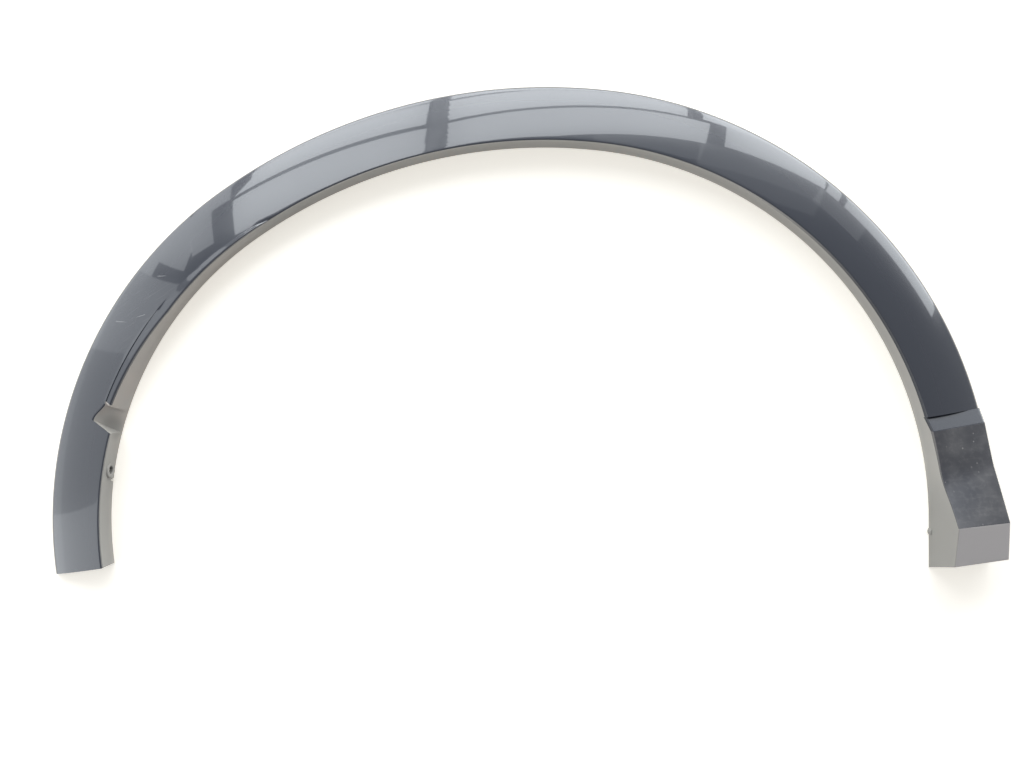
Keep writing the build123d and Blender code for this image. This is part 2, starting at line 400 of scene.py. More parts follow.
# %% Rows from the front end to the crown
end_drop_outer, end_drop_inner = 56.65, 46.1
end_outer = front.centre + Vector((rim_offset.x - front_radius - band_width, -end_drop_outer))
end_inner = front.centre + Vector((-front_radius, -end_drop_inner))
front_end = row_line(front, end_outer, end_inner)
scoop_line = row_line(front, apex, patch_corner)
front_top = (front_join, front_join)
inset_front = wall / front_radius
rows = [place_band(front, front_end, -1, "band", -inset_front)]
count = int(front_radius * (front_end[1] - scoop_line[1]) / ROW_SPACING)
rows += list(fan(front, front_end, scoop_line, count, lambda a: "band", lambda a: -1))[1:]
rows.append(place_band(front, scoop_line, -1, "scoop_end", inset_front))
patch_line = [mix(a, b, patch_part) for a, b in zip(scoop_line, front_top)]
rows.append(place_band(front, scoop_line, 1.0, "patch", inset_front))
rows += list(fan(front, scoop_line, patch_line, PATCH_ROWS, patch_zone, patch_share))[1:]
rows += list(fan(front, patch_line, front_top, LEDGE_ROWS, lambda a: "band", patch_share))
rear_top = (rear_join, rear_join)
rows += list(fan(crown, front_top, rear_top, CROWN_ROWS, lambda a: "band", lambda a: 0))
print("rows up to the crown's end", len(rows))

# %% [markdown]
# The flared foot
# Behind the step the band gives way to a wedge: a short flat ramp, a long panel that bends up
# smoothly to the flare, a toe that falls away and a heel that closes the end. The height at
# any place is the lowest of ramp, panel and toe. Rows follow the creases, and a pair of close
# rows beside each crease keeps it slightly round.

# %% Corners of the foot
widest = rear.centre + Vector((rear_radius, 0.0))


def at_foot(x, y, z):
    return Vector((widest.x + x, widest.y + y, z))


step_inner, step_outer = at_foot(-16.2, 103.1, 25.0), at_foot(46.4, 111.7, 8.8)
facet_inner, facet_outer = at_foot(-12.7, 89.4, 31.5), at_foot(49.1, 98.1, 15.5)
bend_inner, bend_outer = at_foot(-1.4, 41.7, 31.5), at_foot(54.0, 58.0, 23.6)
flare_inner, flare_outer = at_foot(1.3, 0.6, 56.0), at_foot(57.8, 3.9, 42.3)
toe_inner, toe_outer = at_foot(1.7, -36.9, 48.5), at_foot(60.29, -33.2, 32.0)
heel_inner = at_foot(1.7, -47.4, 0.0)
bend_radius = 45.0
print("foot length", round(step_outer.y - heel_inner.y, 1), "mm")

# %% Surfaces of the foot
def plane_through(a, b, c):
    """Point and normal of a plane."""
    return a, (b - a).cross(c - a).normalized()


def height_on(plane, point):
    origin, normal = plane
    flat = point - origin.to_2d()
    return origin.z - (normal.x * flat.x + normal.y * flat.y) / normal.z


def on_crease(inner, outer, x):
    """Where the line of a crease passes the given x."""
    return mix(inner, outer, (x - inner.x) / (outer.x - inner.x))


def panel_height(point):
    """Two slopes that meet at the bend, joined by a smooth curve."""
    facet = on_crease(facet_inner, facet_outer, point.x)
    bend = on_crease(bend_inner, bend_outer, point.x)
    flare = on_crease(flare_inner, flare_outer, point.x)
    before = (bend.z - facet.z) / (facet.y - bend.y)
    after = (flare.z - bend.z) / (bend.y - flare.y)
    reach = bend_radius * tan((atan(after) - atan(before)) / 2)
    past = bend.y - point.y
    turned = past if past > reach else max(past + reach, 0.0) ** 2 / (4 * reach)
    return bend.z + before * past + (after - before) * turned


ramp_plane = plane_through(step_inner, facet_inner, facet_outer)
toe_plane = plane_through(flare_inner, flare_outer, toe_inner)
heel_plane = plane_through(heel_inner, toe_inner, toe_outer)


def heel_y(x, z):
    """Where the heel's surface is at a height."""
    origin, normal = heel_plane
    return origin.y - (normal.x * (x - origin.x) + normal.z * (z - origin.z)) / normal.y


class FootRow(Row):
    """A row across the foot, from its outer side to the wheel opening."""

    def __init__(self, outer, inner):
        super().__init__(rear, outer, inner)

    def height(self, across):
        point = self.plan(across)
        return min(height_on(ramp_plane, point), panel_height(point), height_on(toe_plane, point))


print("panel rises", round(flare_inner.z - facet_inner.z, 1), "mm")

# %% Section of the foot
side_round, inner_round = 2.2, 1.0
turn_at_step, turn_at_flare = 4.6, 0.3
CREASE_GAP = 0.7


def foot_profile(row):
    side = row.at(0)
    corner = row.at(row.width)
    below = corner - Vector((0, inner_round))
    share = smooth(flare_inner.y, step_inner.y, row.inner.y)
    turned = below - Vector((0, mix(turn_at_flare, turn_at_step, share)))
    under = side - Vector((0, side_round))
    points = [Vector((0, 0))]
    points += rounded(under, side, row.at(side_round), ROLL_STEPS + 1)
    points += [row.at(x) for x in spaced(side_round, row.width - inner_round, FACE_STEPS + 1)[1:-1]]
    points += rounded(row.at(row.width - inner_round), corner, below, CORNER_STEPS)
    points += spaced(below, turned, TURN_STEPS + 1)[1:]
    return points + spaced(turned, Vector((row.width, 0)), FLANGE_STEPS + 1)[1:]


print("paint turns down", turn_at_step, "mm at the step and", turn_at_flare, "mm at the flare")

# %% Creases of the foot
def opening_at(y):
    """The wheel opening's edge beside the foot: the rear arc, then straight down."""
    rise = max(y - rear.centre.y, 0.0)
    return Vector((rear.centre.x + sqrt(rear_radius**2 - rise**2), y))


def crossing_of(a, b, c, d):
    """Where the plan line through a and b meets the plan line through c and d."""
    first, second = b - a, d - c
    share = (c - a).cross(second) / first.cross(second)
    return a + first * share


def crease_line(inner, outer):
    """A crease from the foot's side to the wheel opening."""
    inner, outer = inner.to_2d(), outer.to_2d()
    end = inner
    for _ in range(8):
        slope = (outer.y - inner.y) / (outer.x - inner.x)
        end = opening_at(inner.y + slope * (end.x - inner.x))
    return crossing_of(inner, outer, step_outer.to_2d(), toe_outer.to_2d()), end


def crease_shares(length, spacing):
    """Even shares of a facet, with close rows beside both creases."""
    count = max(int(length / spacing), 3)
    return [0.0, CREASE_GAP / length] + [k / count for k in range(1, count)] + [1 - CREASE_GAP / length]


print("crease at the flare", crease_line(flare_inner, flare_outer))

# %% Rows of the foot
def foot_rows(first, last, zone):
    length = (last[1] - first[1]).length
    for share in crease_shares(length, ROW_SPACING):
        outer = mix(first[0], last[0], share)
        yield FootRow(outer, opening_at(mix(first[1].y, last[1].y, share))), zone


def place_foot(row, zone, back=Vector((0, 0))):
    profile = foot_profile(row)
    hollow = FootRow(row.outer + back, row.inner + back)
    return Placed(solid_points(row, profile), inner_points(hollow, foot_profile(hollow), 0, 0), zone)


step_line = row_line(rear, step_outer.to_2d(), step_inner.to_2d())
count = int(rear_radius * (rear_join - step_line[1]) / ROW_SPACING)
rows += list(fan(rear, rear_top, step_line, count, lambda a: "band", lambda a: 0))
inset_rear = wall / rear_radius
rows.append(place_band(rear, step_line, 0, "step", inset_rear))
step_ends = (step_outer.to_2d(), row_at(rear, step_line).inner)
lines = [step_ends, crease_line(facet_inner, facet_outer), crease_line(flare_inner, flare_outer)]
lines.append(crease_line(toe_inner, toe_outer))
for first, last, zone in zip(lines, lines[1:], ("facet", "panel", "toe")):
    for number, (row, name) in enumerate(foot_rows(first, last, zone)):
        behind_step = zone == "facet" and number == 0
        rows.append(place_foot(row, name, Vector((0, wall if behind_step else 0))))
print("rows so far", len(rows))

# %% The heel's line
def on_heel(points, gap):
    """The walls of the last row, moved to the heel's surface."""
    return [Vector((p.x, heel_y(p.x, p.z) + gap, p.z)) for p in points]


last = place_foot(FootRow(*lines[-1]), "heel")
rows.append(Placed(on_heel(last.outer, 0.0), on_heel(last.inner, heel_wall), "heel"))
print("rows in all", len(rows))

# %% [markdown]
# One closed skin
# The outer grid and the hollow grid share their layout, so a strip along the floor joins them
# into one closed shell, and one flat face closes each end of both. Points that fall together,
# such as those in the hollow's corners, are merged. Each face takes its finish from its place:
# gloss paint, scuffed paint or bare plastic.

# %% Finish of each face
PAINT, PANEL, BARE = 0, 1, 2
FIRST_TURN = COLUMNS - FLANGE_STEPS - TURN_STEPS
FIRST_FLANGE = COLUMNS - FLANGE_STEPS


def finish_of(zone, column):
    """Finish of the face between this column and the next."""
    if zone in ("toe", "heel") or column >= FIRST_FLANGE - 1:
        return BARE
    if zone in ("patch", "scoop_end") and column >= FIRST_TURN - 2:
        return BARE
    return PANEL if zone == "panel" else PAINT


print("paint ends before column", FIRST_FLANGE - 1, "of", COLUMNS)

# %% Build the skin
def add_grid(mesh, points, flip):
    """Vertices of a grid and its quads."""
    grid = [[mesh.verts.new(point * MM) for point in row] for row in points]
    for number, (row, above) in enumerate(zip(grid, grid[1:])):
        for column in range(COLUMNS - 1):
            corners = [row[column], above[column], above[column + 1], row[column + 1]]
            face = mesh.faces.new(corners[::-1] if flip else corners)
            face.material_index = BARE if flip else finish_of(rows[number].zone, column)
            face.smooth = True
    return grid


def join_edges(mesh, outer, inner):
    for a, b, c, d in zip(outer, outer[1:], inner[1:], inner):
        mesh.faces.new((a, b, c, d)).material_index = BARE


merge_gap = 0.004 * MM
skin = bmesh.new()
outside = add_grid(skin, [row.outer for row in rows], False)
inside = add_grid(skin, [row.inner for row in rows], True)
for column in (0, COLUMNS - 1):
    join_edges(skin, [row[column] for row in outside], [row[column] for row in inside])
for end, finish in ((0, PAINT), (-1, BARE)):
    skin.faces.new(outside[end]).material_index = finish
    skin.faces.new(inside[end]).material_index = BARE
    ends = (outside[end][0], outside[end][-1], inside[end][-1], inside[end][0])
    skin.faces.new(ends).material_index = BARE
bmesh.ops.remove_doubles(skin, verts=skin.verts, dist=merge_gap)
bmesh.ops.dissolve_degenerate(skin, edges=skin.edges, dist=merge_gap / 2)
bmesh.ops.recalc_face_normals(skin, faces=skin.faces)
loose_edges = [edge for edge in skin.edges if len(edge.link_faces) != 2]
print("faces", len(skin.faces), "edges that aren't shared by two faces", len(loose_edges))
print("volume", round(skin.calc_volume() / MM**3), "cubic mm")

# %% Turn it into an object
def as_object(name, mesh):
    """A finished mesh as an object at the origin."""
    data = bpy.data.meshes.new(name)
    mesh.to_mesh(data)
    mesh.free()
    thing = bpy.data.objects.new(name, data)
    bpy.context.scene.collection.objects.link(thing)
    return thing


def settled(thing):
    """The object's modifiers, worked into a plain mesh."""
    view = bpy.context.evaluated_depsgraph_get()
    data = bpy.data.meshes.new_from_object(thing.evaluated_get(view))
    thing.modifiers.clear()
    thing.data = data
    return thing


trim = as_object("arch_skin", skin)
print(trim.name, len(trim.data.polygons), "faces")

# %% [markdown]
# Liner eye, notch and locating pip
# Low on the front flange sits a raised ring with a hole for the wheel liner's rivet, and a
# small V-shaped notch beside it. The hole and the notch are cut with a Boolean, which leaves
# the rest of the grid as it is. The ring and the pip on the foot are turned shapes.

# %% Places of the eye and the notch
eye_rise, eye_height, eye_hole, eye_ring, eye_proud = 48.2, 9.5, 4.0, 7.75, 1.2
notch_rise, notch_width, notch_depth = 37.7, 5.0, 6.5
eye_x = front.centre.x - sqrt(front_radius**2 - eye_rise**2)
eye = Vector((eye_x, front.centre.y + eye_rise, eye_height))
print("eye at", eye)

# %% Cut the hole and the notch
def prism(mesh, outline, direction):
    """Closed prism from a flat outline of points, pushed along a direction."""
    near = [mesh.verts.new(point * MM) for point in outline]
    far = [mesh.verts.new((point + direction) * MM) for point in outline]
    made = [mesh.faces.new(near), mesh.faces.new(far[::-1])]
    for a, b, c, d in zip(near, near[1:] + near[:1], far[1:] + far[:1], far):
        made.append(mesh.faces.new((a, d, c, b)))
    bmesh.ops.recalc_face_normals(mesh, faces=made)
    return made


def circle_points(centre, radius, steps):
    """Circle in the plane across X."""
    turns = [2 * pi * step / steps for step in range(steps)]
    return [centre + radius * Vector((0, cos(turn), sin(turn))) for turn in turns]


through = Vector((8 * wall, 0, 0))
cutter = bmesh.new()
prism(cutter, circle_points(eye - through / 2, eye_hole, 48), through)
notch_y = front.centre.y + notch_rise
notch = [(notch_y - notch_width / 2, -wall), (notch_y + notch_width / 2, -wall), (notch_y, notch_depth)]
prism(cutter, [Vector((eye_x, y, z)) - through / 2 for y, z in notch], through)
cutter = as_object("eye_cutter", cutter)
cut = trim.modifiers.new("eye and notch", "BOOLEAN")
cut.object, cut.operation, cut.solver = cutter, "DIFFERENCE", "EXACT"
settled(trim)
bpy.data.objects.remove(cutter)
print("skin after the cuts", len(trim.data.polygons), "faces")

# %% Add the ring and the pip
def turned(mesh, profile, centre, axis, steps=40):
    """Ring of revolution: a closed profile of (radius, height) points round an axis."""
    frame_of = axis.to_track_quat("Z", "Y").to_matrix()
    rings = []
    for step in range(steps):
        angle = 2 * pi * step / steps
        points = [Vector((r * cos(angle), r * sin(angle), h)) for r, h in profile]
        rings.append([mesh.verts.new((centre + frame_of @ point) * MM) for point in points])
    made = []
    for ring, following in zip(rings, rings[1:] + rings[:1]):
        for a, b, c, d in zip(ring, ring[1:] + ring[:1], following[1:] + following[:1], following):
            made.append(mesh.faces.new((a, b, c, d)))
    bmesh.ops.recalc_face_normals(mesh, faces=made)
    return made


skin = bmesh.new()
skin.from_mesh(trim.data)
soft = 0.6
ring_profile = [(eye_hole, -wall), (eye_hole, eye_proud - soft), (eye_hole + soft, eye_proud)]
ring_profile += [(eye_ring - soft, eye_proud), (eye_ring, eye_proud - soft), (eye_ring, -wall)]
pip_radius, pip_height, pip_core = 4.5, 6.0, 0.4
pip_place = at_foot(pip_radius - 1.5, -11.5, 0.0)
pip_profile = [(pip_core, 0.0), (pip_radius, 0.0), (pip_radius, pip_height - soft)]
pip_profile += [(pip_radius - soft, pip_height), (pip_core, pip_height)]
ring_faces = turned(skin, ring_profile, eye, Vector((1, 0, 0)))
pip_faces = turned(skin, pip_profile, pip_place, Vector((0, 0, 1)))
for face in ring_faces + pip_faces:
    face.material_index = BARE
    face.smooth = True
skin.to_mesh(trim.data)
skin.free()
sharp_turn = radians(38)
trim.data.set_sharp_from_angle(angle=sharp_turn)
print("skin with the eye and the pip", len(trim.data.polygons), "faces")

# %% [markdown]
# Finishes
# The moulding is grey plastic, painted on the side that shows. Shader values are written as
# plain sums: a small class wraps a socket, and each operator adds a Math node. All other nodes
# come from one method, which sets a node's settings first and its sockets after that.

# %% A socket that can be added and multiplied
class Signal:
    """A value inside a node tree."""

    def __init__(self, maker, socket):
        self.maker, self.socket = maker, socket

    def maths(self, operation, first, second):
        return self.maker.node("ShaderNodeMath", {"operation": operation}, {0: first, 1: second})

    def __add__(self, other):
        return self.maths("ADD", self, other)

    def __mul__(self, other):
        return self.maths("MULTIPLY", self, other)

    def __sub__(self, other):
        return self.maths("SUBTRACT", self, other)

    def __rsub__(self, other):
        return self.maths("SUBTRACT", other, self)

    __radd__, __rmul__ = __add__, __mul__


class Maker:
    """Adds nodes to a tree."""

    def __init__(self, tree):
        self.tree = tree

    def node(self, kind, settings, sockets, output=0):
        made = self.tree.nodes.new(kind)
        for name, value in settings.items():
            setattr(made, name, value)
        for name, value in sockets.items():
            self.feed(made.inputs[name], value)
        return Signal(self, made.outputs[output]) if made.outputs else made

    def feed(self, socket, value):
        if isinstance(value, Signal):
            self.tree.links.new(value.socket, socket)
        else:
            socket.default_value = value

    def rise(self, value, low, high):
        """Smooth step from 0 at low to 1 at high."""
        sockets = {"Value": value, "From Min": low, "From Max": high}
        return self.node("ShaderNodeMapRange", {"interpolation_type": "SMOOTHSTEP"}, sockets)

    def blend(self, share, first, second):
        """Colour between two colours."""
        return self.node("ShaderNodeMix", {"data_type": "RGBA"}, {0: share, 6: first, 7: second}, 2)


print("node maker is ready")

# %% Patterns that the finishes share
class Finish(Maker):
    """A material round one shader, with patterns in millimetres of the object."""

    full_speck, full_near, full_stroke = 0.4, 0.35, 0.4

    def __init__(self, name, constants):
        self.material = bpy.data.materials.new(name)
        self.material.use_nodes = True
        super().__init__(self.material.node_tree)
        self.shader = self.tree.nodes["Principled BSDF"]
        for label, value in constants.items():
            self.feed(self.shader.inputs[label], value)
        self.place = self.node("ShaderNodeTexCoord", {}, {}, "Object")

    def drive(self, label, value):
        self.feed(self.shader.inputs[label], value)

    def noise(self, size, detail=2.0):
        """Soft noise with blots of about this size."""
        sockets = {"Vector": self.place, "Scale": 1 / (size * MM), "Detail": detail}
        return self.node("ShaderNodeTexNoise", {}, sockets)

    def streaks(self, turn, length, width):
        """Noise drawn out along a direction on the plan."""
        sockets = {"Vector": self.place, "Rotation": (0, 0, turn)}
        sockets["Scale"] = (length * MM, width * MM, length * MM)
        drawn = self.node("ShaderNodeMapping", {"vector_type": "TEXTURE"}, sockets)
        return self.node("ShaderNodeTexNoise", {}, {"Vector": drawn, "Scale": 1.0, "Detail": 1.0})

    def specks(self, spacing, radius):
        """Small round spots, spread at random."""
        sockets = {"Vector": self.place, "Scale": 1 / (spacing * MM)}
        distance = self.node("ShaderNodeTexVoronoi", {}, sockets)
        return 1 - self.rise(distance, self.full_speck * radius / spacing, radius / spacing)

    def near(self, centre, reach):
        """1 round a place on the object, falling to 0 at the reach."""
        sockets = {0: self.place, 1: Vector(centre) * MM}
        distance = self.node("ShaderNodeVectorMath", {"operation": "DISTANCE"}, sockets, "Value")
        return 1 - self.rise(distance, self.full_near * reach * MM, reach * MM)

    def stroke(self, start, end, width):
        """1 along a short line between two places on the plan, thinning out to its end."""
        start, end = Vector(start), Vector(end)
        length = (end - start).length
        along = (end - start) / length
        side = self.measure((-along.y, along.x), start)
        run = self.measure(along, start)
        on_line = 1 - self.rise(side * side, 0.0, width**2)
        fading = 1 - self.rise(run, self.full_stroke * length, length)
        return on_line * self.rise(run, -width, width) * fading

    def measure(self, direction, start):
        """Distance in millimetres along a direction on the plan."""
        scaled = Vector((*direction, 0)) / MM
        sockets = {0: self.place, 1: scaled}
        run = self.node("ShaderNodeVectorMath", {"operation": "DOT_PRODUCT"}, sockets, "Value")
        return run - start.dot(Vector(direction))

    def bump(self, height, depth):
        sockets = {"Height": height, "Strength": 1.0, "Distance": depth * MM}
        self.drive("Normal", self.node("ShaderNodeBump", {}, sockets))


print("patterns are ready")

# %% [markdown]
# Gloss paint
# The band is dark blue-grey under a clear coat, still glossy, with fine dust and a patch of
# light scratches on the front leg. The coat gives the sharp reflections and the rougher base
# below it gives the haze round them. Dust and scratches lighten the base and dull the coat.
# Where the paint runs over the rear leg's lip it is only overspray, so it stays dull there.

# %% Gloss paint
blue_grey, pale_mark = (0.028, 0.032, 0.043, 1), (0.30, 0.30, 0.30, 1)
paint = Finish("gloss_paint", {"Coat Roughness": 0.03, "Coat IOR": 1.5})
dust = paint.specks(7.0, 0.3) * paint.rise(paint.noise(70.0), 0.45, 0.7)
scratch_lines = (
    ((-400.0, 8.0), (-385.5, 7.0), 0.7),
    ((-367.0, 14.0), (-378.0, 11.0), 0.5),
    ((-357.0, 52.0), (-346.0, 52.0), 0.6),
)
scratches = sum(paint.stroke(*line) for line in scratch_lines)
rubbed = paint.rise(paint.streaks(radians(30.0), 30.0, 1.0), 0.62, 0.74)
rubbed_place = paint.near((-375.0, 20.0, 15.0), 60.0)
marks = 0.5 * scratches + 0.08 * rubbed * rubbed_place + 0.15 * dust
paint.drive("Base Color", paint.blend(marks, blue_grey, pale_mark))
facing = paint.node("ShaderNodeNewGeometry", {}, {}, "Normal")
steep = 1 - paint.rise(paint.node("ShaderNodeSeparateXYZ", {}, {0: facing}, "Z"), 0.2, 0.6)
dull = steep * paint.rise(paint.measure((1, 0), Vector((200, 0))), 0.0, 150.0)
paint.drive("Roughness", 0.18 + 0.08 * paint.noise(40.0) + 0.45 * dull)
paint.drive("Coat Weight", (1 - marks) * (1 - dull))
print(paint.material.name, len(paint.tree.nodes), "nodes")

# %% [markdown]
# Scuffed paint on the foot
# The long panel behind the step takes the wheel's spray. Its paint is dull, with dust and
# small chips through to the plastic, so it has less coat, a rougher base, pale blots and specks.
# A round patch on it is painted darker and bluer as shade.

# %% Scuffed paint
dull_grey, panel_shade_grey = (0.052, 0.052, 0.058, 1), (0.032, 0.034, 0.043, 1)
worn_through = (0.42, 0.40, 0.38, 1)
worn = Finish("scuffed_paint", {"Coat Roughness": 0.25})
blots = worn.rise(worn.noise(24.0, 6.0), 0.42, 0.72)
mottle = worn.rise(worn.noise(5.0, 3.0), 0.45, 0.75)
chips = worn.specks(8.0, 1.2) * worn.rise(worn.noise(30.0), 0.47, 0.6)
rubbed = worn.rise(worn.streaks(radians(5.0), 30.0, 2.5), 0.58, 0.75)
wear = 0.08 * blots + 0.05 * mottle + 0.45 * chips + 0.02 * rubbed
# Painted shade: a round patch on the panel is darker and bluer.
panel_painted_shade = worn.near((416.0, -156.0, 44.0), 38.0)
under = worn.blend(0.8 * panel_painted_shade, dull_grey, panel_shade_grey)
worn.drive("Base Color", worn.blend(wear, under, worn_through))
worn.drive("Roughness", 0.42 + 0.2 * blots)
worn.drive("Coat Weight", 0.35 - 0.3 * wear)
print(worn.material.name, len(worn.tree.nodes), "nodes")

# %% [markdown]
# Bare plastic
# Flange, toe and back are unpainted warm grey plastic with a fine grain. The grain is a
# shallow bump, and a slow change of tone keeps the long flange from looking printed. Painted
# light lifts the colour along the flange's foot, on the front leg's flange and on the toe. A faint
# brown stain sits low on the front leg, and painted shade darkens the foot's inner wall and the end of the
# scoop.

# %% Bare plastic
warm_grey, light_grey = (0.350, 0.340, 0.318, 1), (0.395, 0.378, 0.348, 1)
painted_bounce_colour, leg_painted_light_colour, toe_painted_light_colour = (0.47, 0.45, 0.41, 1), (0.52, 0.475, 0.43, 1), (0.51, 0.48, 0.468, 1)
brown_stain, plastic_painted_shade, pale_fleck = (0.44, 0.38, 0.33, 1), (0.255, 0.247, 0.228, 1), (0.60, 0.58, 0.54, 1)
plastic = Finish("bare_plastic", {})
tone = plastic.rise(plastic.noise(45.0, 3.0), 0.3, 0.7)
fleck = plastic.specks(7.0, 0.4) * plastic.rise(plastic.noise(50.0), 0.5, 0.62)
height = plastic.node("ShaderNodeSeparateXYZ", {}, {0: plastic.place}, "Z")
# Painted light: the plastic is lighter near the floor, where the floor's bounce falls on the flange's
# foot.
low_painted_light = 1 - plastic.rise(height, 0.0, 9.0 * MM)
bare = plastic.blend(tone, warm_grey, light_grey)
bare = plastic.blend(0.6 * low_painted_light, bare, painted_bounce_colour)
stained = plastic.near((-392.0, -70.0, 4.0), 60.0) * plastic.rise(plastic.noise(20.0), 0.4, 0.65)
bare = plastic.blend(0.5 * stained, bare, brown_stain)
# Painted light: the front leg's flange is lightened and warmed.
painted_light_on_leg = plastic.near((-345.0, 10.0, 8.0), 170.0)
bare = plastic.blend(0.6 * painted_light_on_leg, bare, leg_painted_light_colour)
# Painted shade: the foot's inner wall and the end of the scoop are darkened.
foot_wall_painted_shade = plastic.near((407.0, -215.0, 20.0), 95.0)
scoop_end_painted_shade = plastic.near((-402.0, -97.0, 13.0), 16.0)
bare = plastic.blend(0.8 * (foot_wall_painted_shade + scoop_end_painted_shade), bare, plastic_painted_shade)
# Painted light: the toe, which faces away from the panes, is lightened.
past_edge = plastic.rise(plastic.measure((1, 0), Vector((407.4, 0))), 0.0, 0.8)
past_flare = plastic.rise(plastic.measure((0.058, -0.998), flare_inner.to_2d()), -2.0, -0.5)
on_toe = past_edge * past_flare
bare = plastic.blend(0.85 * on_toe, bare, toe_painted_light_colour)
plastic.drive("Base Color", plastic.blend(0.4 * fleck, bare, pale_fleck))
plastic.drive("Roughness", 0.5 + 0.12 * tone)
plastic.bump(plastic.noise(0.9, 1.0), 0.03)
for finish in (paint, worn, plastic):
    trim.data.materials.append(finish.material)
print([material.name for material in trim.data.materials])

# %% [markdown]
# Clip houses and corner webs on the back
# Clips slide into seven small houses under the face, and thin webs stiffen the corner between
# the face and the flange. Both repeat along a path, so one Geometry Nodes tree does it: the
# path is trimmed, divided evenly, and one shape is set on every point, turned to the path.

# %% A tree that repeats a shape along a path
def along_tree():
    tree = bpy.data.node_groups.new("repeat along a path", "GeometryNodeTree")
    ports = {"Geometry": "Geometry", "Count": "Int", "First": "Float", "Last": "Float"}
    ports.update({"Shape": "Object", "Finish": "Material"})
    for label, kind in ports.items():
        tree.interface.new_socket(label, in_out="INPUT", socket_type="NodeSocket" + kind)
    tree.interface.new_socket("Geometry", in_out="OUTPUT", socket_type="NodeSocketGeometry")
    maker = Maker(tree)
    given = {label: maker.node("NodeGroupInput", {}, {}, label) for label in ports}
    path = maker.node("GeometryNodeMeshToCurve", {}, {"Mesh": given["Geometry"]})
    ends = {"Curve": path, "Start": given["First"], "End": given["Last"]}
    part = maker.node("GeometryNodeTrimCurve", {"mode": "FACTOR"}, ends)
    points = maker.node("GeometryNodeCurveToPoints", {}, {"Curve": part, "Count": given["Count"]})
    tangent = Signal(maker, points.socket.node.outputs["Tangent"])
    facing = {"axis": "X", "pivot_axis": "Z"}
    turn = maker.node("FunctionNodeAlignRotationToVector", facing, {"Vector": tangent})
    shape = maker.node("GeometryNodeObjectInfo", {}, {"Object": given["Shape"]}, "Geometry")
    sockets = {"Points": points, "Instance": shape, "Rotation": turn}
    copies = maker.node("GeometryNodeInstanceOnPoints", {}, sockets)
    real = maker.node("GeometryNodeRealizeInstances", {}, {"Geometry": copies})
    done = maker.node("GeometryNodeSetMaterial", {}, {"Geometry": real, "Material": given["Finish"]})
    maker.node("NodeGroupOutput", {}, {0: done})
    return tree


repeat_tree = along_tree()
print("tree nodes", len(repeat_tree.nodes))

# %% Shapes that repeat
house_length, house_width, house_wall, house_setback, plate = 26.0, 22.0, 1.8, 2.0, 2.0
slot_half = 4.0


def under_face(from_rim):
    return section_height(from_rim) - wall / 2


def upright(mesh, outline, low, high_at):
    """Upright prism on a plan outline, its top following a height."""
    made = prism(mesh, [Vector((x, y, low)) for x, y in outline], Vector((0, 0, 1)))
    for vertex in {vertex for face in made for vertex in face.verts}:
        if vertex.co.z > (low + 0.5) * MM:
            vertex.co.z = high_at(vertex.co.y / MM) * MM


def clip_house():
    """Slotted plate with three walls, open at one end. Towards the wheel is minus Y."""
    mesh = bmesh.new()
    end, side = house_length / 2, house_width / 2
    middle = -band_width / 2
    neck = [(-slot_half * sin(turn), slot_half * cos(turn)) for turn in spaced(pi, 0.0, 9)]
    shelf = [(end, slot_half), (end, side), (-end, side)]
    shelf += [(-end, -side), (end, -side), (end, -slot_half)]
    shelf = [(x, middle + y) for x, y in shelf + neck]
    upright(mesh, shelf, house_setback, lambda y: house_setback + plate)
    inner_end, inner_side = end - house_wall, side - house_wall
    walls = [(end, side), (-end, side), (-end, -side), (end, -side)]
    walls += [(end, -inner_side), (-inner_end, -inner_side)]
    walls += [(-inner_end, inner_side), (end, inner_side)]
    walls = [(x, middle + y) for x, y in walls]
    upright(mesh, walls, house_setback + plate, lambda y: under_face(-y))
    return as_object("clip_house_shape", mesh)


def corner_web():
    """Thin web between face and flange, measured outwards from the lip."""
    thickness, setback, reach, base = 1.2, 5.0, 16.0, 2.0
    root = wall / 2
    outline = [(root, setback), (wall + base, setback), (reach, under_face(band_width - reach))]
    outline += [(reach / 2, under_face(band_width - reach / 2)), (root, under_face(band_width - root))]
    mesh = bmesh.new()
    prism(mesh, [Vector((-thickness / 2, out, z)) for out, z in outline], Vector((thickness, 0, 0)))
    return as_object("corner_web_shape", mesh)


house_shape, web_shape = clip_house(), corner_web()
print("house and web", len(house_shape.data.polygons), len(web_shape.data.polygons), "faces each")

# %% Set them along the arcs
path_step, path_gap = 6, 0.01 * MM


def arc_points(arc, growth, offset, first, last):
    """Points along an arc, a few millimetres apart."""
    steps = max(int(abs(last - first) * arc.radius / path_step), 2)
    hub = arc.centre + offset
    return [on_circle(hub, arc.radius + growth, angle) for angle in spaced(first, last, steps + 1)]


def path_object(name, points):
    """Plain chain of edges that carries the repeat tree."""
    mesh = bmesh.new()
    chain = [mesh.verts.new(point.to_3d() * MM) for point in points]
    for a, b in zip(chain, chain[1:]):
        mesh.edges.new((a, b))
    bmesh.ops.remove_doubles(mesh, verts=mesh.verts, dist=path_gap)
    return as_object(name, mesh)


def repeated(name, points, values):
    """A shape repeated along a path, as a plain mesh."""
    thing = path_object(name, points)
    modifier = thing.modifiers.new("repeat", "NODES")
    modifier.node_group = repeat_tree
    for item in repeat_tree.interface.items_tree:
        if item.in_out == "INPUT" and item.name in values:
            modifier[item.identifier] = values[item.name]
    return settled(thing)


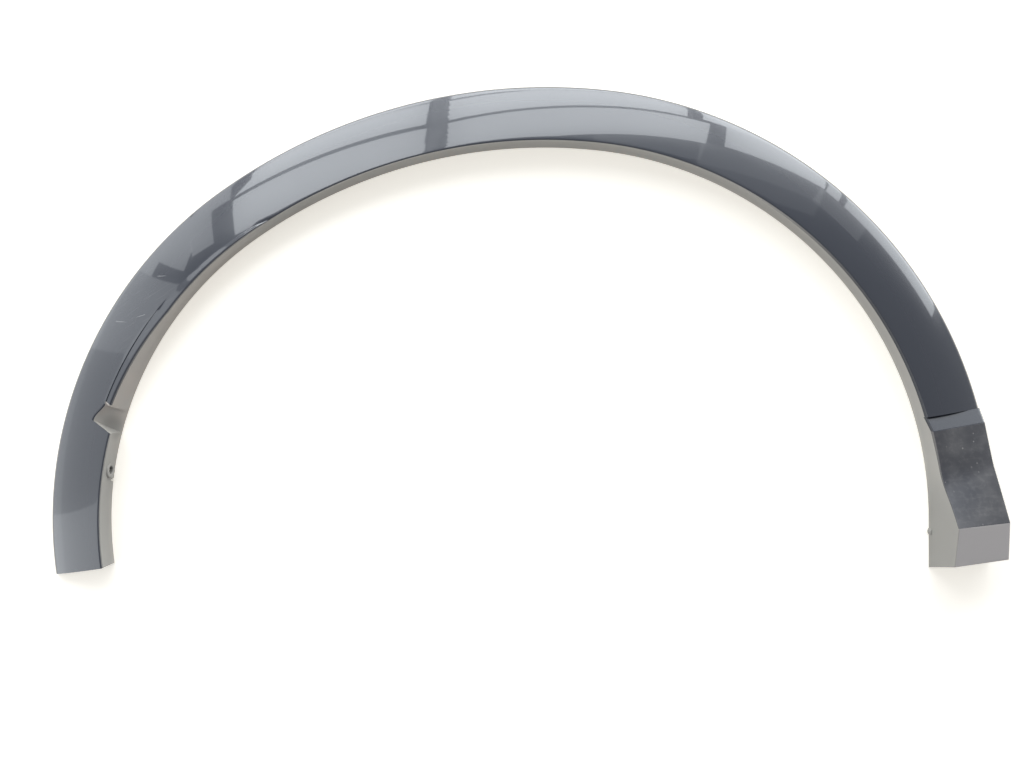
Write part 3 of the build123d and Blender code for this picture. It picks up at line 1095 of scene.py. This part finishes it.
path_first, path_last = radians(193.0), radians(8.0)
web_first, web_last = radians(128.0), radians(24.0)
front_web_first, front_web_last = radians(184.0), radians(169.0)
rim_path = arc_points(front, band_width, rim_offset, path_first, front_join)
rim_path += arc_points(crown, band_width, rim_offset, front_join, rear_join)
rim_path += arc_points(rear, band_width, rim_offset, rear_join, path_last)
house_values = {"Count": 7, "First": 0.07, "Last": 0.91}
house_values.update({"Shape": house_shape, "Finish": plastic.material})
houses = repeated("clip_houses", rim_path, house_values)
lip_path = arc_points(front, 0.0, Vector((0, 0)), web_first, front_join)
lip_path += arc_points(crown, 0.0, Vector((0, 0)), front_join, rear_join)
lip_path += arc_points(rear, 0.0, Vector((0, 0)), rear_join, web_last)
web_values = {"Count": 15, "First": 0.0, "Last": 1.0}
web_values.update({"Shape": web_shape, "Finish": plastic.material})
webs = repeated("corner_webs", lip_path, web_values)
front_path = arc_points(front, 0.0, Vector((0, 0)), front_web_first, front_web_last)
front_webs = repeated("front_corner_webs", front_path, dict(web_values, Count=3))
for shape in (house_shape, web_shape):
    bpy.data.objects.remove(shape)
print("faces on the back", [len(thing.data.polygons) for thing in (houses, webs, front_webs)])

# %% [markdown]
# Cross webs under the flared foot
# The foot is the widest hollow of the moulding, so two thin walls cross it. The tree above sets
# equal shapes, but here each wall has an outline of its own that follows the underside. So each
# is a plain prism, with its top taken from the same height rule as the foot's rows.

# %% Cross webs under the flared foot
foot_web_rises, foot_web_thickness, foot_web_base = (60.6, 22.6), 1.8, 5.0


def side_x(y):
    """The foot's outer side at a height on the plan."""
    share = (y - step_outer.y) / (toe_outer.y - step_outer.y)
    return mix(step_outer.x, toe_outer.x, share)


def cross_web(mesh, rise):
    """Thin wall across the foot, from its outer side to the flange, up to the underside."""
    y = widest.y + rise
    ends = side_x(y) - wall / 2, opening_at(y).x + wall / 2
    row = FootRow(Vector((ends[0], y)), Vector((ends[1], y)))
    outline = [Vector((ends[1], y, foot_web_base)), Vector((ends[0], y, foot_web_base))]
    for across in spaced(0.0, row.width, 9):
        outline.append(row.plan(across).to_3d() + Vector((0, 0, row.height(across) - wall / 2)))
    shift = Vector((0, foot_web_thickness, 0))
    prism(mesh, [point - shift / 2 for point in outline], shift)


mesh = bmesh.new()
for rise in foot_web_rises:
    cross_web(mesh, rise)
foot_webs = as_object("foot_webs", mesh)
foot_webs.data.materials.append(plastic.material)
print(foot_webs.name, len(foot_webs.data.polygons), "faces")

# %% [markdown]
# The floor
# The trim lies on a pale floor. More light would make the floor white, but it would burn out the
# paint as well. So the floor shines a little by itself, only for the camera and for reflections,
# and it still takes the trim's shadow.

# %% Floor
floor_half, floor_gap = 12.0, 0.0002
floor_mesh = bmesh.new()
bmesh.ops.create_grid(floor_mesh, x_segments=1, y_segments=1, size=floor_half)
floor = as_object("floor", floor_mesh)
floor.data.transform(Matrix.Translation((0, 0, -floor_gap)))
floor_look = {"Base Color": (0.90, 0.87, 0.82, 1), "Roughness": 0.9, "Emission Strength": 0.48}
floor_finish = Finish("pale_floor", floor_look)
seen_by = ("Is Camera Ray", "Is Glossy Ray", "Is Transmission Ray")
rays = [floor_finish.node("ShaderNodeLightPath", {}, {}, kind) for kind in seen_by]
whiten = floor_finish.node("ShaderNodeMath", {"operation": "MINIMUM"}, {0: sum(rays), 1: 1.0})
floor_finish.drive("Emission Color", floor_finish.blend(whiten, (0, 0, 0, 1), (1.0, 0.955, 0.85, 1)))
floor.data.materials.append(floor_finish.material)
print(floor.name)

# %% [markdown]
# Soft boxes
# Gloss paint is only as good as what it mirrors. One side of the room is a row of tall bright
# panes with a rail across and dark posts between, each on a wall of its own that leans in a
# little. An area lamp is a plain rectangle, so a pane with a slanted end is cut into strips. Dim
# panes carry on above, two cards on the other side lift the front leg, and the rest of the room
# stays grey, so the rear leg is dark. All distances here are metres.

# %% Walls that carry the soft boxes
rail = 0.88
day = (0.93, 0.97, 1.0)
Wall = namedtuple("Wall", "start end lean")
walls = {
    "left": Wall((-1.725, 1.655), (-0.43, 1.47), 15),
    "middle": Wall((-0.34, 1.485), (1.38, 2.55), 5),
    "right": Wall((1.37, 2.68), (4.40, 4.15), 7),
    "far": Wall((4.40, 4.15), (6.87, 2.48), 16),
    "side": Wall((-2.38, 1.75), (-1.745, 1.657), 15),
    "front card": Wall((-1.7, -1.2), (-1.7, 0.8), 0),
    "rear card": Wall((-1.7, 0.8), (-2.47, 1.876), 0),
}


def soft_box(name, first, last, low, high, radiance):
    """Soft box on a wall between two distances along it and two heights, all in metres.

    A wall leans in above the rail and shines to the right of its line."""
    start, end = (Vector((*point, 0.0)) for point in walls[name][:2])
    along = (end - start).normalized()
    lean = radians(walls[name].lean)
    rise = Vector((along.y * sin(lean), -along.x * sin(lean), cos(lean)))
    lamp = bpy.data.lights.new(name, "AREA")
    lamp.shape = "RECTANGLE"
    lamp.size, lamp.size_y = last - first, (high - low) / cos(lean)
    lamp.energy = radiance * pi * lamp.size * lamp.size_y
    lamp.color = day
    box = bpy.data.objects.new(name, lamp)
    turn = Matrix((along, -rise, rise.cross(along))).transposed().to_4x4()
    foot = start + along * (first + last) / 2 + Vector((0, 0, rail))
    box.matrix_world = Matrix.Translation(foot + rise * ((low + high) / 2 - rail) / cos(lean)) @ turn
    bpy.context.scene.collection.objects.link(box)


print("walls", list(walls))

# %% Panes with slanted ends
Pane = namedtuple("Pane", "wall low high first last light")
strip_slant, most_strips = 0.012, 16


def straight_pane(wall_name, low, high, first, last, light):
    """A pane with upright ends."""
    return Pane(wall_name, low, high, (first, first), (last, last), light)


def slanted_pane(pane):
    """A pane cut into strips, so that its ends can slant from the low to the high edge."""
    slant = max(abs(pane.first[1] - pane.first[0]), abs(pane.last[1] - pane.last[0]))
    steps = min(1 + int(slant / strip_slant), most_strips)
    for step in range(steps):
        middle = (step + 0.5) / steps
        heights = [mix(pane.low, pane.high, share / steps) for share in (step, step + 1)]
        soft_box(pane.wall, mix(*pane.first, middle), mix(*pane.last, middle), *heights, pane.light)


panes = (
    straight_pane("left", 0.03, 0.40, 0.17, 1.30, 4.8),
    straight_pane("left", 0.425, 0.635, 0.17, 1.30, 4.8),
    Pane("left", 0.635, 0.84, (0.17, 0.01), (1.30, 1.30), 4.8),
    Pane("left", 0.92, 1.90, (0.0, 0.0), (1.305, 1.33), 4.5),
    Pane("left", 0.03, 1.75, (1.31, 1.335), (1.45, 1.345), 0.45),
    Pane("middle", 0.03, 0.415, (0.085, 0.046), (1.695, 1.695), 5.2),
    Pane("middle", 0.44, 0.85, (0.044, 0.005), (1.695, 1.695), 5.2),
    Pane("middle", 0.91, 1.78, (0.0, -0.08), (2.023, 2.023), 4.6),
    straight_pane("right", 0.03, rail, 0.0, 3.368, 5.6),
    straight_pane("right", rail, 1.78, 0.35, 3.368, 4.5),
    straight_pane("far", 0.03, rail, 0.0, 0.338, 5.2),
    straight_pane("far", rail, 1.78, 0.08, 0.338, 3.8),
    straight_pane("far", 0.03, rail, 0.46, 2.98, 5.2),
    straight_pane("far", rail, 1.78, 0.46, 2.98, 3.6),
    straight_pane("side", 0.03, 0.84, 0.0, 0.63, 2.1),
    straight_pane("side", 0.84, 1.78, 0.0, 0.378, 2.1),
)
for pane in panes:
    slanted_pane(pane)
print("lamps in the panes", len(bpy.data.lights))

# %% Dim wall above the panes, and cards
cards = (
    straight_pane("middle", 1.80, 2.70, 0.8, 2.023, 0.6),
    straight_pane("right", 1.80, 3.0, 0.0, 3.368, 0.75),
    straight_pane("right", 3.0, 4.4, 0.0, 3.368, 0.4),
    straight_pane("far", 1.80, 3.0, 0.0, 0.95, 0.65),
    straight_pane("front card", 0.02, 0.28, 0.0, 0.85, 2.0),
    straight_pane("front card", 0.28, 1.6, 0.0, 0.85, 1.7),
    straight_pane("front card", 0.02, 0.28, 0.85, 1.55, 1.25),
    straight_pane("front card", 0.28, 1.6, 0.85, 1.55, 0.85),
    straight_pane("front card", 0.02, 0.28, 1.55, 2.0, 2.0),
    straight_pane("front card", 0.28, 1.6, 1.55, 2.0, 1.4),
    straight_pane("rear card", 0.02, 0.60, 0.0, 1.5, 2.1),
    Pane("rear card", 0.60, 1.35, (0.22, 0.22), (1.47, 0.66), 2.1),
)
for card in cards:
    slanted_pane(card)
world = bpy.data.worlds.new("studio")
world.use_nodes = True
bpy.context.scene.world = world
world.node_tree.nodes["Background"].inputs["Color"].default_value = (0.39, 0.40, 0.42, 1)
bpy.context.scene.view_settings.view_transform = "Standard"
print("lamps in all", len(bpy.data.lights))

# %% [markdown]
# The camera
# The view is straight down. Height and lens go together so that a millimetre on the floor is one
# pixel of a picture 1024 pixels wide, and the upright flange gets its true perspective.

# %% Camera
focal_pixels, image_width, camera_height = 828, 1024, 0.828
picture_centre = (-0.009536, -0.053627)
view = bpy.data.cameras.new("view")
view.lens = view.sensor_width * focal_pixels / image_width
camera = bpy.data.objects.new("view", view)
camera.location = (*picture_centre, camera_height)
bpy.context.scene.collection.objects.link(camera)
bpy.context.scene.camera = camera
print("camera at", tuple(camera.location))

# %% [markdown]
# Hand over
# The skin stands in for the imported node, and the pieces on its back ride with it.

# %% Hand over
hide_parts("arch_moulding")
for piece in (trim, houses, webs, front_webs, foot_webs):
    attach(piece, "root")
